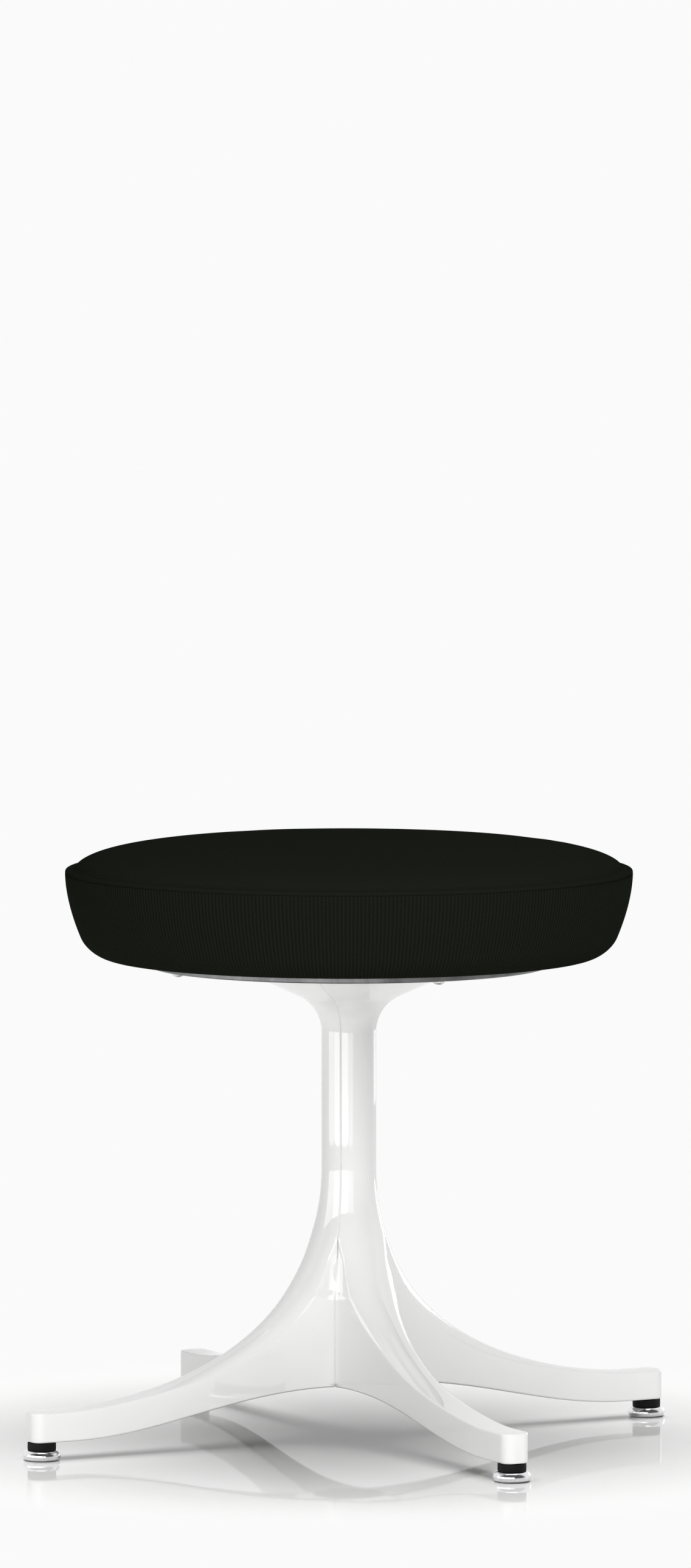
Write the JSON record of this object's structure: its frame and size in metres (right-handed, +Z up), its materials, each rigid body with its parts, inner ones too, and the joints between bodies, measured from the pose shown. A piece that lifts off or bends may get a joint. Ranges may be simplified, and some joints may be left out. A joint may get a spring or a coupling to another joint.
{
  "type": "pedestal stool",
  "caption": "Low round stool: a crowned knit-covered seat on a slim white cast column that parts into arched legs with levelling feet.",
  "frame": {"origin": "on the floor, straight under the middle of the column", "axes": "+Z up along the column; the legs lie along -Y (front), +X (right), +Y (back) and -X (left)"},
  "size_m": [0.5012, 0.5012, 0.4194],
  "materials": {
    "knit_cover": "black-green ribbed knit",
    "under_cloth": "thin black under-cloth",
    "foam": "moulded foam",
    "plywood": "birch plywood",
    "zinc_steel": "zinc plated",
    "bright_screw": "bright nickel",
    "satin_steel": "satin grey",
    "dark_screw": "dark oxide",
    "brass_insert": "turned brass",
    "white_casting": "gloss white powder coat",
    "black_rubber": "satin black rubber",
    "chrome_foot": "mirror chrome"
  },
  "bodies": {
    "stool": {"cover_top": "knit_cover", "cover_side": "knit_cover", "cover_seam": "knit_cover", "cover_under": "under_cloth", "seat_foam": "foam", "seat_board": "plywood", "seat_tee_nuts": "zinc_steel", "seat_screws": "bright_screw", "seat_plate": "satin_steel", "flange_screws": "dark_screw", "hub_plate": "satin_steel", "hub_screws": "dark_screw", "leg_inserts": "brass_insert", "leg_front": "white_casting", "leg_right": "white_casting", "leg_back": "white_casting", "leg_left": "white_casting"},
    "lift_front": {"stem_front": "zinc_steel"},
    "glide_front": {"collar_front": "black_rubber", "foot_front": "chrome_foot"},
    "lift_right": {"stem_right": "zinc_steel"},
    "glide_right": {"collar_right": "black_rubber", "foot_right": "chrome_foot"},
    "lift_back": {"stem_back": "zinc_steel"},
    "glide_back": {"collar_back": "black_rubber", "foot_back": "chrome_foot"},
    "lift_left": {"stem_left": "zinc_steel"},
    "glide_left": {"collar_left": "black_rubber", "foot_left": "chrome_foot"}
  },
  "joints": [
    {"name": "lift_front", "type": "slide", "parent": "stool", "child": "lift_front", "axis": [0, 0, -1], "range_m": [0, 0.01]},
    {"name": "turn_front", "type": "hinge", "parent": "lift_front", "child": "glide_front", "pos_m": [0, -0.2376, 0], "axis": [0, 0, -1], "range_deg": [0, 2890]},
    {"name": "lift_right", "type": "slide", "parent": "stool", "child": "lift_right", "axis": [0, 0, -1], "range_m": [0, 0.01]},
    {"name": "turn_right", "type": "hinge", "parent": "lift_right", "child": "glide_right", "pos_m": [0.2376, 0, 0], "axis": [0, 0, -1], "range_deg": [0, 2890]},
    {"name": "lift_back", "type": "slide", "parent": "stool", "child": "lift_back", "axis": [0, 0, -1], "range_m": [0, 0.01]},
    {"name": "turn_back", "type": "hinge", "parent": "lift_back", "child": "glide_back", "pos_m": [0, 0.2376, 0], "axis": [0, 0, -1], "range_deg": [0, 2890]},
    {"name": "lift_left", "type": "slide", "parent": "stool", "child": "lift_left", "axis": [0, 0, -1], "range_m": [0, 0.01]},
    {"name": "turn_left", "type": "hinge", "parent": "lift_left", "child": "glide_left", "pos_m": [-0.2376, 0, 0], "axis": [0, 0, -1], "range_deg": [0, 2890]}
  ],
  "couplings": [
    {"joint": "turn_front", "follows": "lift_front", "rad_per_m": 5026.5},
    {"joint": "turn_right", "follows": "lift_right", "rad_per_m": 5026.5},
    {"joint": "turn_back", "follows": "lift_back", "rad_per_m": 5026.5},
    {"joint": "turn_left", "follows": "lift_left", "rad_per_m": 5026.5}
  ]
}
